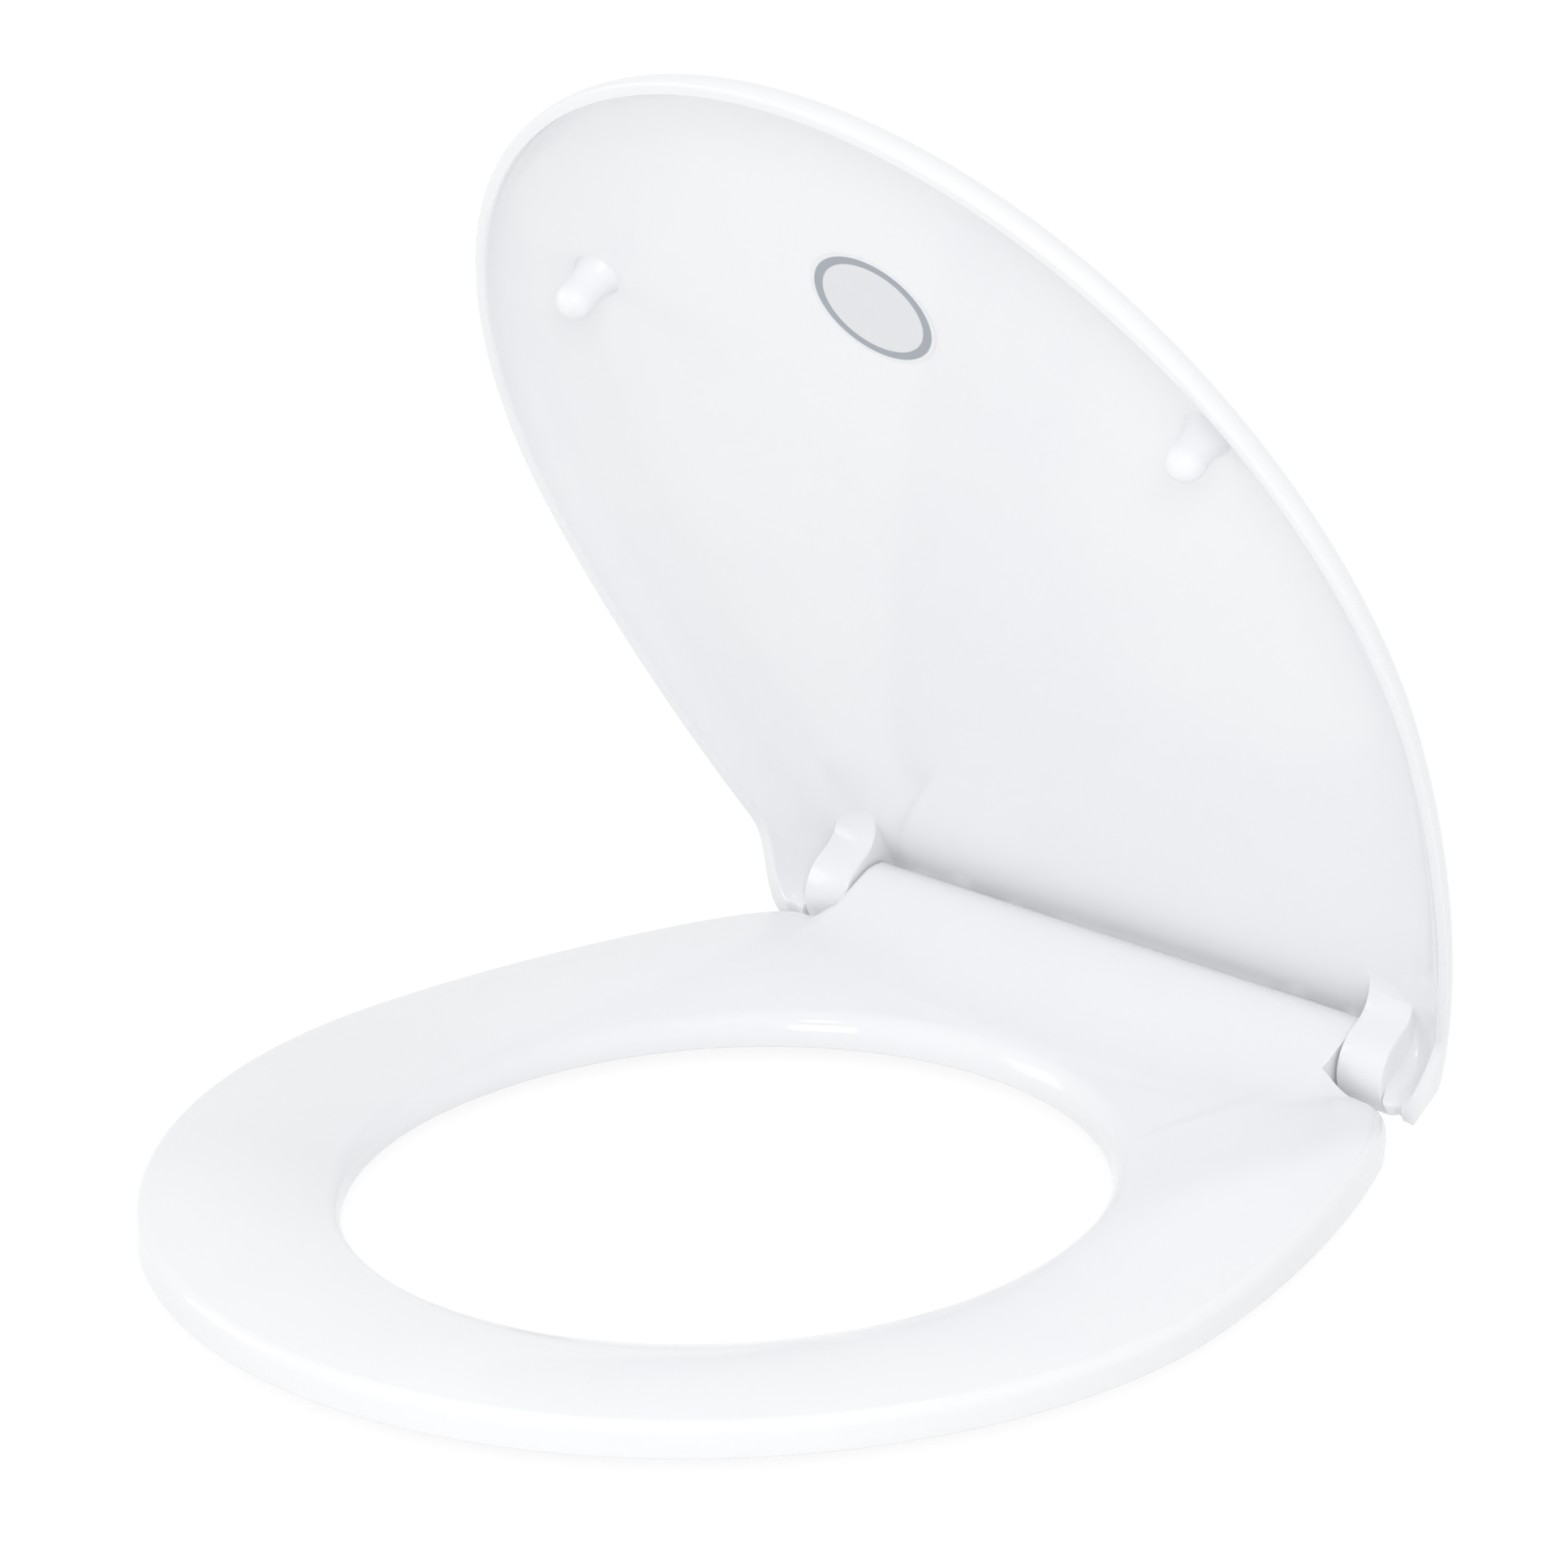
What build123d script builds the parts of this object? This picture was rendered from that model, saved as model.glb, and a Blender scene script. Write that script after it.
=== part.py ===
from build123d import *
import math
import os

os.makedirs("parts", exist_ok=True)

# Driving dimensions, in millimetres and degrees.
# While a piece is shaped, the hinge axis lies at Y = 0 and the bowl's rim at Z = 0.
# The front of the seat points to -Y, and every piece is moved to the fixing bolts' frame at the end.

# Hinge line and fixing
hinge_height = 29.0
fixing_spacing = 155.0
fixing_setback = 16.0
bolt_hole_radius = 4.25
running_clearance = 0.05
side_gap = 1.3

# Seat ring in plan, measured from the hinge axis
seat_half_width = 185.0
seat_front = 437.0
seat_widest = 213.0
seat_tail = 328.0
seat_tail_power = 1.28
hole_half_width = 117.5
hole_front = 366.0
hole_rear = 68.0
hole_widest = 220.0
hole_tail_power = 0.94

# Seat ring in section, measured from its bottom edge
seat_standoff = 6.0
crown_height = 15.2
shoulder_height = 12.8
shoulder_radius = 4.5
lip_height = 2.5
roll_radius = 8.0

# Hood over the hinge posts
barrel_radius = 13.6
hood_half_length = 110.0
hood_slope = 26.0
hood_foot = 57.0
hood_fade = 22.0
hood_wall = 4.0
bearing_length = 14.0
swing_radius = 21.5
seat_rear_edge = 14.0

# Lid in plan and in section, as it lies level over the seat
lid_half_width = 188.5
lid_front = 441.0
lid_widest = 207.0
lid_corner_width = 13.5
lid_tail_power = 1.2
lid_rear_edge = 3.0
lid_rim_height = 26.7
lid_face_height = 45.9
lid_thickness = 3.8
lid_rim_width = 4.6
lid_edge_wall = 0.8
lid_dome_width = 50.0
lid_dish_width = 34.0
shield_depth = 18.0
shield_draft = 2.0
shield_start = 24.0
shield_wall = 4.5

# Lid ears round the hinge axis
ear_width = 19.0
ear_radius = 15.5
ear_fillet = 7.0
ear_socket_depth = 13.0

# How the lid stands: shown open, and a little nose down when it is shut
lid_shown = 57.0
lid_pitch = 0.8

# Buffers
lid_bumper_radius = 6.9
lid_bumper_inset = 60.1
lid_bumper_forward = 308.0
lid_bumper_neck = 5.2
lid_bumper_flare = 8.0
lid_bumper_plug_radius = 3.5
lid_bumper_plug = 1.6
lid_rest_gap = 0.3
seat_bumper_radius = 10.0
seat_bumper_taper = 1.2
seat_bumper_stem_radius = 4.0
seat_bumper_stem = 5.0
seat_bumper_angles = (38.0, 112.0)

# Round sticker on the lid's inner face
sticker_radius = 24.7
sticker_thickness = 0.3
sticker_forward = 328.0

# Hinge posts and what stands under them
post_head_radius = 10.4
post_head_length = 29.0
post_width = 26.0
post_depth = 15.0
post_edge_radius = 2.5
post_gap = 0.6
base_radius = 25.0
base_thickness = 3.6
pad_thickness = 1.5
base_gap = 0.3
base_edge_radius = 1.2
spigot_radius = 5.0
spigot_neck_radius = 3.0
spigot_root_radius = 3.5
spigot_height = 12.0
spigot_collar = 1.8

# Release buttons at the back of the posts
button_width = 12.0
button_height = 5.5
button_proud = 3.0
button_travel = 2.4
button_clearance = 0.15

# Rotary dampers, bushes and pivot pins on the hinge axis
damper_radius = 7.0
damper_wall = 1.3
shaft_radius = 4.5
shaft_flat = 2.8
stub_radius = 3.0
bush_radius = 6.5
bush_flange_radius = 8.5
bush_flange = 0.9
pin_radius = 4.0
pin_wall = 4.0

# Worked-out places
post_x = fixing_spacing / 2
post_inner = post_x - post_head_length / 2
post_outer = post_x + post_head_length / 2
ear_inner = hood_half_length + side_gap
ear_outer = ear_inner + ear_width
bearing_inner = post_outer + side_gap
base_top = pad_thickness + base_thickness
button_rest = spigot_neck_radius + post_gap + button_travel
button_low = base_top + spigot_collar + base_gap
hood_full = hood_half_length - hood_fade / 10
seat_outline = (seat_half_width, seat_front, seat_widest, seat_tail, seat_tail_power)
hole_outline = (hole_half_width, hole_front, hole_widest, hole_widest - hole_rear, hole_tail_power)
lid_corner = ear_outer + lid_corner_width
lid_narrowing = math.sqrt(1 - (lid_corner / lid_half_width) ** 2)
lid_tail = (lid_widest + lid_rear_edge) / lid_narrowing ** lid_tail_power
lid_outline = (lid_half_width, lid_front, lid_widest, lid_tail, lid_tail_power)
big = 2 * (seat_front + seat_tail)
lid_bumper_across = lid_half_width - lid_bumper_inset
egg_breaks = (0, 60, 90, 135, 180, 225, 270, 300, 360)


def drawn_in(outline, inset):
    """An egg outline drawn in by an inset."""
    half_width, front, widest, tail, power = outline
    return half_width - inset, front - inset, widest, tail - inset, power


def between(first, second, share):
    """An egg outline part of the way from one to another."""
    return tuple(a + (b - a) * share for a, b in zip(first, second))


def egg_point(outline, turn):
    """Point of an egg outline: an ellipse in front of its widest line, a slower taper behind it."""
    half_width, front, widest, tail, power = outline
    across = half_width * math.sin(turn)
    reach = math.cos(turn)
    if reach >= 0:
        return across, -widest - (front - widest) * reach
    return across, -widest + tail * (-reach) ** power


def egg_heading(outline, turn):
    """Direction in which an egg outline runs on at a turn."""
    step = 0.001
    x0, y0 = egg_point(outline, turn - step)
    x1, y1 = egg_point(outline, turn + step)
    return Vector(x1 - x0, y1 - y0, 0)


def egg(outline, height):
    """Closed egg outline at a height, in a few smooth stretches."""
    edges = []
    for start, end in zip(egg_breaks, egg_breaks[1:]):
        turns = [math.radians(start + (end - start) * share / 4) for share in range(5)]
        points = [Vector(*egg_point(outline, turn), height) for turn in turns]
        headings = [egg_heading(outline, turns[0]), egg_heading(outline, turns[-1])]
        edges.append(Edge.make_spline(points, tangents=headings))
    return Wire(edges)


def skin(runs):
    """Faces lofted through runs of (outline, height), each run starting where the last one ended."""
    wires = [egg(*runs[0][0])]
    faces = []
    for run in runs:
        run_wires = [wires[-1]] + [egg(*section) for section in run[1:]]
        faces += Shell.make_loft(run_wires, len(run_wires) == 2).faces()
        wires.append(run_wires[-1])
    return faces, wires[0], wires[-1]


def block(x0, x1, y0, y1, z0, z1):
    """Box between two corners."""
    return Pos((x0 + x1) / 2, (y0 + y1) / 2, (z0 + z1) / 2) * Box(x1 - x0, y1 - y0, z1 - z0)


def rod(radius, x0, x1):
    """Round bar along the hinge axis."""
    return Pos((x0 + x1) / 2, 0, hinge_height) * Rot(0, 90, 0) * Cylinder(radius, x1 - x0)


def disc(radius, x, y, z0, z1):
    """Upright round bar."""
    return Pos(x, y, (z0 + z1) / 2) * Cylinder(radius, z1 - z0)


def along_x(side_face, x0, x1):
    """Extrudes a face drawn in (Y, Z) from x0 to x1."""
    return Pos(x0, 0, 0) * extrude(Plane.YZ * side_face, x1 - x0)


def flats(radius, half_gap, x0, x1):
    """Round bar along the hinge axis with two flats, for a keyed end."""
    return rod(radius, x0, x1) & block(x0, x1, -half_gap, half_gap, 0, 2 * hinge_height)


def mirrored(solid):
    """The same piece for the left side."""
    return mirror(solid, about=Plane.YZ)


# Seat ring: a skin lofted from the outer wall over shoulder, crown and roll down into the hole
def ring_body():
    foot = seat_standoff
    turns = [math.radians(a) for a in (0, 23, 46, 69)]
    shoulder = []
    roll = []
    for turn in turns:
        inset = 1 - math.cos(turn)
        rise = math.sin(turn) - 1
        height = foot + shoulder_height + shoulder_radius * rise
        shoulder.append((drawn_in(seat_outline, shoulder_radius * inset), height))
        height = foot + lip_height + roll_radius * (1 + rise)
        roll.insert(0, (drawn_in(hole_outline, -roll_radius * inset), height))
    top = []
    for share in (0, 0.25, 0.5, 0.75, 1):
        arch = 4 * share * (1 - share)
        middle = (shoulder[-1][1] + roll[0][1]) / 2
        chord = shoulder[-1][1] + (roll[0][1] - shoulder[-1][1]) * share
        height = chord + arch * (foot + crown_height - middle)
        top.append((between(shoulder[-1][0], roll[0][0], share), height))
    wall = [(seat_outline, foot), shoulder[0]]
    lip = [roll[-1], (hole_outline, foot)]
    faces, first, last = skin([wall, shoulder, top, roll, lip])
    return Solid(Shell([*faces, Face(first, [last])]))


# Hood: the side profile rises from the ring as a ramp, goes over the barrel and fades out at its ends
def hood_section(x):
    low = seat_standoff + lip_height
    past = min(max((x - hood_full) / hood_fade, 0), 1)
    fade = 1 - past * past * (3 - 2 * past)
    lean = math.radians(hood_slope)
    touch = (-barrel_radius * math.sin(lean), hinge_height + barrel_radius * math.cos(lean))
    start = (-hood_foot, seat_standoff + shoulder_height - roll_radius / 2)
    ramp = Edge.make_spline(
        [Vector(*start), Vector(*touch)],
        tangents=[Vector(1, 0.12), Vector(math.cos(lean), math.sin(lean))],
    )
    points = [ramp @ share for share in (0, 0.25, 0.5, 0.75)]
    for turn in (90 + hood_slope, 90, 60, 30, 0, -45, -90):
        angle = math.radians(turn)
        over = hinge_height + barrel_radius * math.sin(angle)
        points.append(Vector(barrel_radius * math.cos(angle), over))
    lifted = [Vector(x, p.X, low + fade * (p.Y - low)) for p in points]
    front = Vector(x, -hood_foot, seat_standoff)
    back = Vector(x, -seat_rear_edge - lip_height, seat_standoff)
    closing = Wire.make_polygon([lifted[-1], back, front, lifted[0]], close=False)
    return Wire([Edge.make_spline(lifted), *closing.edges()])


def hood_body():
    middle = extrude(Face(hood_section(-hood_full)), 2 * hood_full, dir=(1, 0, 0))
    shares = (0, 0.25, 0.5, 0.75, 1)
    end = Solid.make_loft([hood_section(hood_full + share * hood_fade) for share in shares])
    return middle + end + mirrored(end)


def bumper_place(angle):
    """Middle of the ring's width at a turn from the front."""
    return egg_point(between(seat_outline, hole_outline, 0.5), math.radians(angle))


def post_pocket():
    """Room for one hinge post, open downwards and to the back so that the seat can lift."""
    x0 = post_inner - side_gap
    x1 = post_outer + side_gap
    half_depth = post_depth / 2 + 2 * post_gap
    pocket = rod(post_head_radius + post_gap, x0, x1)
    pocket += block(x0, x1, -half_depth, 2 * barrel_radius, 0, hinge_height)
    pocket += block(x0, x1, barrel_radius / 2, 2 * barrel_radius, 0, hinge_height + half_depth)
    return pocket


def hood_hollow():
    """Coring under the middle of the hood, between the two bearings."""
    x1 = post_inner - side_gap - bearing_length
    x0 = hood_wall / 2
    top = hinge_height + barrel_radius - hood_wall
    lean = math.tan(math.radians(hood_slope))
    front = -hood_foot + 2 * hood_wall
    low = seat_standoff - 1
    face = make_face(Polyline(
        (front, low),
        (front, seat_standoff + lip_height),
        (-barrel_radius, top - barrel_radius * lean),
        (0, top - hood_wall),
        (barrel_radius - hood_wall, hinge_height),
        (0, hinge_height - barrel_radius - 1),
        (0, low),
        close=True,
    ))
    return along_x(face, x0, x1)


# Seat: ring and hood in one moulding, then the room for posts, ears and bearings is cut out
def hinge_room():
    """What the lid's ear and shield sweep through, to the right of the hood."""
    room = rod(swing_radius, hood_half_length, big)
    return room + block(hood_half_length, big, -seat_rear_edge, big, 0, big)


def both_sides(pieces):
    """The pieces and their mirror images."""
    return [*pieces, *(mirrored(piece) for piece in pieces)]


stem_holes = []
for angle in seat_bumper_angles:
    x, y = bumper_place(angle)
    stem_holes.append(disc(seat_bumper_stem_radius, x, y, 0, seat_standoff + seat_bumper_stem))
hood = hood_body() - both_sides([
    hinge_room(),
    post_pocket(),
    hood_hollow(),
    rod(bush_radius, bearing_inner, ear_inner),
    rod(pin_radius + running_clearance, post_inner - side_gap - bearing_length, post_inner),
])
rear = block(-big, big, -seat_rear_edge, big, 0, big)
rear += block(-hood_full, hood_full, hood_wall - hood_foot, big, 0, big)
seat_ring = ring_body() - [rear, *both_sides([hinge_room(), *stem_holes])]
seat_ring += hood


# Seat bumper: a tapered rubber foot with a stem pushed up into its boss
def seat_bumper(angle):
    x, y = bumper_place(angle)
    stem_top = seat_standoff + seat_bumper_stem
    face = make_face(Polyline(
        (0, 0),
        (seat_bumper_radius - 2 * seat_bumper_taper, 0),
        (seat_bumper_radius - seat_bumper_taper, seat_bumper_taper),
        (seat_bumper_radius, seat_standoff),
        (seat_bumper_stem_radius, seat_standoff),
        (seat_bumper_stem_radius, stem_top),
        (0, stem_top),
        close=True,
    ))
    return Pos(x, y, 0) * revolve(Plane.XZ * face, Axis.Z)


# Lid: an outer dome less an inner dish, quarter ellipses in section, with the rim cut to its side line
def bowl_runs(inset, foot, bend, width, top):
    """Runs of eggs up a slightly drafted wall and over a quarter ellipse."""
    curve = []
    for angle in (0, 18, 36, 54, 72, 90):
        turn = math.radians(angle)
        outline = drawn_in(lid_outline, inset + width * (1 - math.cos(turn)))
        curve.append((outline, bend + (top - bend) * math.sin(turn)))
    wall = [(drawn_in(lid_outline, inset + shield_draft), foot), curve[0]]
    return [wall, curve]


def lid_shell():
    """Outer dome and inner dish sewn together along the foot, and the solid dome for its end walls."""
    foot = lid_rim_height - shield_depth
    top = lid_face_height + lid_thickness
    bend = lid_rim_height + lid_edge_wall
    dome, low, high = skin(bowl_runs(0, foot, bend, lid_dome_width, top))
    dish_runs = bowl_runs(lid_rim_width, foot, lid_rim_height, lid_dish_width, lid_face_height)
    dish, inner_low, inner_high = skin(dish_runs)
    hollow = Solid(Shell([*dome, Face(high), *dish, Face(inner_high), Face(low, [inner_low])]))
    full = Solid(Shell([*dome, Face(high), Face(low)]))
    return hollow, full


def lid_under_rim():
    """Everything below the rim's side line, which drops behind the hinge into a shield at each corner."""
    tip = lid_rim_height - shield_depth
    face = make_face(Polyline(
        (-big, lid_rim_height),
        (-shield_start, lid_rim_height),
        (-shield_start / 3, tip + shield_depth / 3),
        (lid_rear_edge, tip),
        (big, tip),
        (big, -big),
        (-big, -big),
        close=True,
    ))
    return along_x(face, -big, big)


def lid_ear():
    """Right ear: a knuckle about the hinge axis on a neck that flares into the lid's inner face."""
    top = lid_face_height + lid_thickness / 2
    rear = math.sqrt(ear_radius ** 2 - lid_rear_edge ** 2)
    flare = ear_radius + ear_fillet
    bow = ear_fillet * (1 - math.sqrt(0.5))
    outline = Wire([
        Edge.make_line((-flare, top), (-flare, lid_face_height)),
        Edge.make_three_point_arc(
            (-flare, lid_face_height),
            (-ear_radius - bow, lid_face_height - bow),
            (-ear_radius, lid_face_height - ear_fillet),
        ),
        Edge.make_line((-ear_radius, lid_face_height - ear_fillet), (-ear_radius, hinge_height)),
        Edge.make_three_point_arc(
            (-ear_radius, hinge_height),
            (ear_radius * math.sqrt(0.5), hinge_height - ear_radius * math.sqrt(0.5)),
            (lid_rear_edge, hinge_height + rear),
        ),
        Edge.make_line((lid_rear_edge, hinge_height + rear), (lid_rear_edge, top)),
        Edge.make_line((lid_rear_edge, top), (-flare, top)),
    ])
    return along_x(Face(outline), ear_inner, ear_outer)


socket_end = ear_inner + ear_socket_depth
lid_hollow, lid_full = lid_shell()
plug_place = (lid_bumper_across, -lid_bumper_forward)
plug_seat = disc(lid_bumper_flare, *plug_place, lid_rim_height, lid_face_height)
plug_hole = disc(lid_bumper_plug_radius, *plug_place, lid_rim_height, lid_face_height + lid_bumper_plug)
lid = lid_hollow - [
    block(-big, big, lid_rear_edge, big, 0, big),
    lid_under_rim(),
    *both_sides([plug_seat, plug_hole]),
]
shield_inner = ear_outer - shield_wall
shield = lid_full & block(shield_inner, big, lid_rear_edge - shield_wall, lid_rear_edge, 0, lid_face_height)
shield -= lid_under_rim()
lid += [
    *both_sides([shield]),
    lid_ear() - rod(bush_radius, ear_inner, socket_end),
    mirrored(lid_ear() - flats(shaft_radius, shaft_flat, ear_inner, socket_end)),
]


# Lid bumper: a ball on a flared neck, plugged into the lid, that meets the ring's crown when it is shut
def lid_bumper():
    shut_drop = lid_bumper_forward * math.sin(math.radians(lid_pitch))
    tip = seat_standoff + crown_height + lid_rest_gap + shut_drop
    centre = tip + lid_bumper_radius
    base = lid_face_height
    waist = math.sqrt(lid_bumper_radius ** 2 - lid_bumper_neck ** 2)
    profile = Wire([
        Edge.make_three_point_arc(
            (0, tip),
            (lid_bumper_radius * math.sqrt(0.5), centre - lid_bumper_radius * math.sqrt(0.5)),
            (lid_bumper_radius, centre),
        ),
        Edge.make_three_point_arc(
            (lid_bumper_radius, centre),
            (math.sqrt(lid_bumper_radius ** 2 - waist ** 2 / 4), centre + waist / 2),
            (lid_bumper_neck, centre + waist),
        ),
        Edge.make_line((lid_bumper_neck, centre + waist), (lid_bumper_neck, base - 2)),
        Edge.make_line((lid_bumper_neck, base - 2), (lid_bumper_flare, base)),
        Edge.make_line((lid_bumper_flare, base), (lid_bumper_plug_radius, base)),
        Edge.make_line((lid_bumper_plug_radius, base), (lid_bumper_plug_radius, base + lid_bumper_plug)),
        Edge.make_line((lid_bumper_plug_radius, base + lid_bumper_plug), (0, base + lid_bumper_plug)),
        Edge.make_line((0, base + lid_bumper_plug), (0, tip)),
    ])
    solid = revolve(Plane.XZ * Face(profile), Axis.Z)
    return Pos(lid_bumper_across, -lid_bumper_forward, 0) * solid


# Round sticker: a bare disc on the lid's inner face
sticker = disc(sticker_radius, 0, -sticker_forward, lid_face_height - sticker_thickness, lid_face_height)


# Hinge post: an upright with a round head on the hinge axis, cored for damper, pin, spigot and button
def hinge_post():
    foot = base_top + base_gap
    half_width = post_width / 2
    half_depth = post_depth / 2
    upright = block(post_x - half_width, post_x + half_width, -half_depth, half_depth, foot, hinge_height)
    upright = fillet(upright.edges().filter_by(Axis.Z), post_edge_radius)
    post = upright + rod(post_head_radius, post_inner, post_outer)
    post -= rod(damper_radius, post_inner + pin_wall, post_outer)
    post -= rod(pin_radius, post_inner, post_inner + pin_wall)
    post -= disc(spigot_radius + running_clearance, post_x, 0, foot, base_top + spigot_height + base_gap)
    half = button_width / 2 + button_clearance
    low = button_low - button_clearance
    high = button_low + button_height + button_clearance
    post -= block(post_x - half, post_x + half, 0, post_depth, low, high)
    return post


# Release button: a block in the back of the post with a proud face, stopping short of the spigot's neck
def release_button():
    x0 = post_x - button_width / 2
    y1 = post_depth / 2 + button_proud
    button = block(x0, x0 + button_width, button_rest, y1, button_low, button_low + button_height)
    return fillet(button.faces().sort_by(Axis.Y)[-1].edges(), 1.0)


# Swivel base: a round plate with the bolt hole at its back and a hole in the middle for its spigot
def swivel_base():
    base = disc(base_radius, post_x, 0, pad_thickness, base_top)
    base = fillet(base.edges().group_by(Axis.Z)[-1], base_edge_radius)
    base -= disc(spigot_root_radius, post_x, 0, pad_thickness, base_top)
    return base - disc(bolt_hole_radius, post_x, fixing_setback, 0, base_top)


# Base spigot: pressed into the plate, with a neck that the post's button locks behind
def base_spigot():
    neck_top = base_top + spigot_height - spigot_collar
    spigot = disc(spigot_root_radius, post_x, 0, pad_thickness, base_top)
    spigot += disc(spigot_radius, post_x, 0, base_top, base_top + spigot_collar)
    spigot += disc(spigot_neck_radius, post_x, 0, base_top, neck_top)
    return spigot + disc(spigot_radius, post_x, 0, neck_top, base_top + spigot_height)


# Rubber pad: keeps the swivel base off the glaze
def base_pad():
    pad = disc(base_radius, post_x, 0, 0, pad_thickness)
    return pad - disc(bolt_hole_radius, post_x, fixing_setback, 0, pad_thickness)


# Damper housing: a cup pressed into the post's head
def damper_housing():
    x0 = post_inner + pin_wall
    cup = rod(damper_radius, x0, post_outer)
    cup -= rod(damper_radius - damper_wall, x0 + damper_wall, post_outer - damper_wall)
    return cup - rod(shaft_radius + running_clearance, post_outer - damper_wall, post_outer)


def damper_rotor_body():
    """Vane rotor inside the housing and its shaft as far as the hood's bearing."""
    x0 = post_inner + pin_wall + damper_wall
    room = damper_radius - damper_wall - running_clearance
    vane = block(
        x0 + base_gap, post_outer - damper_wall - base_gap, -room, room, hinge_height - 1, hinge_height + 1)
    core = rod(shaft_radius, x0 + base_gap, bearing_inner)
    inside = rod(room, x0 + base_gap, post_outer - damper_wall - base_gap)
    return core + (vane & inside)


# Lid damper rotor: its round shaft runs through the hood's bush and keys into the lid's ear
lid_rotor = damper_rotor_body() + rod(shaft_radius, bearing_inner, ear_inner)
lid_rotor += flats(shaft_radius, shaft_flat, ear_inner, socket_end - side_gap)

# Seat damper rotor: its shaft keys into the hood's right bush, and a stub beyond it carries the lid's ear
seat_rotor = damper_rotor_body() + flats(shaft_radius, shaft_flat, bearing_inner, hood_half_length)
seat_rotor += rod(stub_radius, hood_half_length, socket_end - side_gap)


# Hood bush: a flanged sleeve in the hood's end wall; the right one has flats that drive the damper
def hood_bush(bore):
    sleeve = rod(bush_radius, bearing_inner, hood_half_length)
    sleeve += rod(bush_flange_radius, hood_half_length, hood_half_length + bush_flange)
    return sleeve - bore


running_bush = hood_bush(rod(shaft_radius + running_clearance, bearing_inner, ear_inner))
driving_bush = hood_bush(
    flats(shaft_radius, shaft_flat, bearing_inner, hood_half_length)
    + rod(stub_radius + 4 * running_clearance, hood_half_length, ear_inner)
)

# Ear bush: carries the lid's right ear on the stub
ear_bush = rod(bush_radius, ear_inner, socket_end) - rod(
    stub_radius + running_clearance, ear_inner, socket_end - bush_flange)

# Pivot pin: pressed into the post's inner wall, running in the hood's inner bearing
pivot_pin = rod(pin_radius, post_inner - bearing_length, post_inner + pin_wall)


# Every piece is put in its place: the lid's pieces turn with the lid, all move to the bolts' frame
to_bolts = Pos(0, -fixing_setback, 0)
to_shown = Pos(0, 0, hinge_height) * Rot(lid_pitch - lid_shown, 0, 0) * Pos(0, 0, -hinge_height)
fixed = {}
turned = {}
fixed["seat_ring"] = seat_ring
for name, angle in zip(("front", "rear"), seat_bumper_angles):
    fixed[f"seat_bumper_{name}_right"] = seat_bumper(angle)
for name, piece in (
    ("hinge_post", hinge_post()),
    ("release_button", release_button()),
    ("swivel_base", swivel_base()),
    ("base_spigot", base_spigot()),
    ("base_pad", base_pad()),
    ("damper_housing", damper_housing()),
    ("pivot_pin", pivot_pin),
):
    fixed[f"{name}_right"] = piece
for name in [name for name in fixed if name.endswith("_right")]:
    fixed[name.replace("_right", "_left")] = mirrored(fixed[name])
fixed["seat_damper_rotor"] = seat_rotor
fixed["hood_bush_right"] = driving_bush
fixed["hood_bush_left"] = mirrored(running_bush)
turned["lid"] = lid
turned["lid_bumper_right"] = lid_bumper()
turned["lid_bumper_left"] = mirrored(turned["lid_bumper_right"])
turned["round_sticker"] = sticker
turned["lid_damper_rotor"] = mirrored(lid_rotor)
turned["ear_bush"] = ear_bush
for name, piece in fixed.items():
    export_step(to_bolts * piece, f"parts/{name}.step")
for name, piece in turned.items():
    export_step(to_bolts * to_shown * piece, f"parts/{name}.step")
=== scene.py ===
import math

import bmesh
import bpy
from mathutils import Matrix, Vector


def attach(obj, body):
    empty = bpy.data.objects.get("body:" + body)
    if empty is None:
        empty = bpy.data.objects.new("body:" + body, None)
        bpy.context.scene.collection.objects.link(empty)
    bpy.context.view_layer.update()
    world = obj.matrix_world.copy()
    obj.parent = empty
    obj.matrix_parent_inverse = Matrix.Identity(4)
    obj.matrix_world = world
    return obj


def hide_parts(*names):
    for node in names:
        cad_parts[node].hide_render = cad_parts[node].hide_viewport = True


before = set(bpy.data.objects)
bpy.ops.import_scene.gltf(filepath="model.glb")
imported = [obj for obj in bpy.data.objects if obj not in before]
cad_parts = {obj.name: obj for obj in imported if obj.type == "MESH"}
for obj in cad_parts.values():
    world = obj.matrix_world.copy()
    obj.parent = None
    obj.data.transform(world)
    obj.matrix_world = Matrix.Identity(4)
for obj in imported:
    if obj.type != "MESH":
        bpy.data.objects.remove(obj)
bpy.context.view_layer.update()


# Bases and posts: at each side a round plate on a rubber pad is bolted to the bowl's rim, and a post
# is pushed onto the plate's spigot, where a button holds it. All but the pads are injection moulded
# from nylon with glass in it.
def linear(code):
    """sRGB hex colour as linear RGBA."""
    parts = [int(code[i:i + 2], 16) / 255 for i in (1, 3, 5)]
    return [c / 12.92 if c <= 0.04045 else ((c + 0.055) / 1.055) ** 2.4 for c in parts] + [1]


def add_node(tree, kind, settings=None, **inputs):
    """Adds a node, sets its properties and fills its inputs, by name or _number, with values or links."""
    node = tree.nodes.new(kind)
    for name, value in (settings or {}).items():
        setattr(node, name, value)
    for name, value in inputs.items():
        socket = node.inputs[int(name[1:]) if name[0] == "_" else name.replace("__", " ")]
        if isinstance(value, bpy.types.NodeSocket):
            tree.links.new(value, socket)
        else:
            socket.default_value = value
    return node


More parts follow.
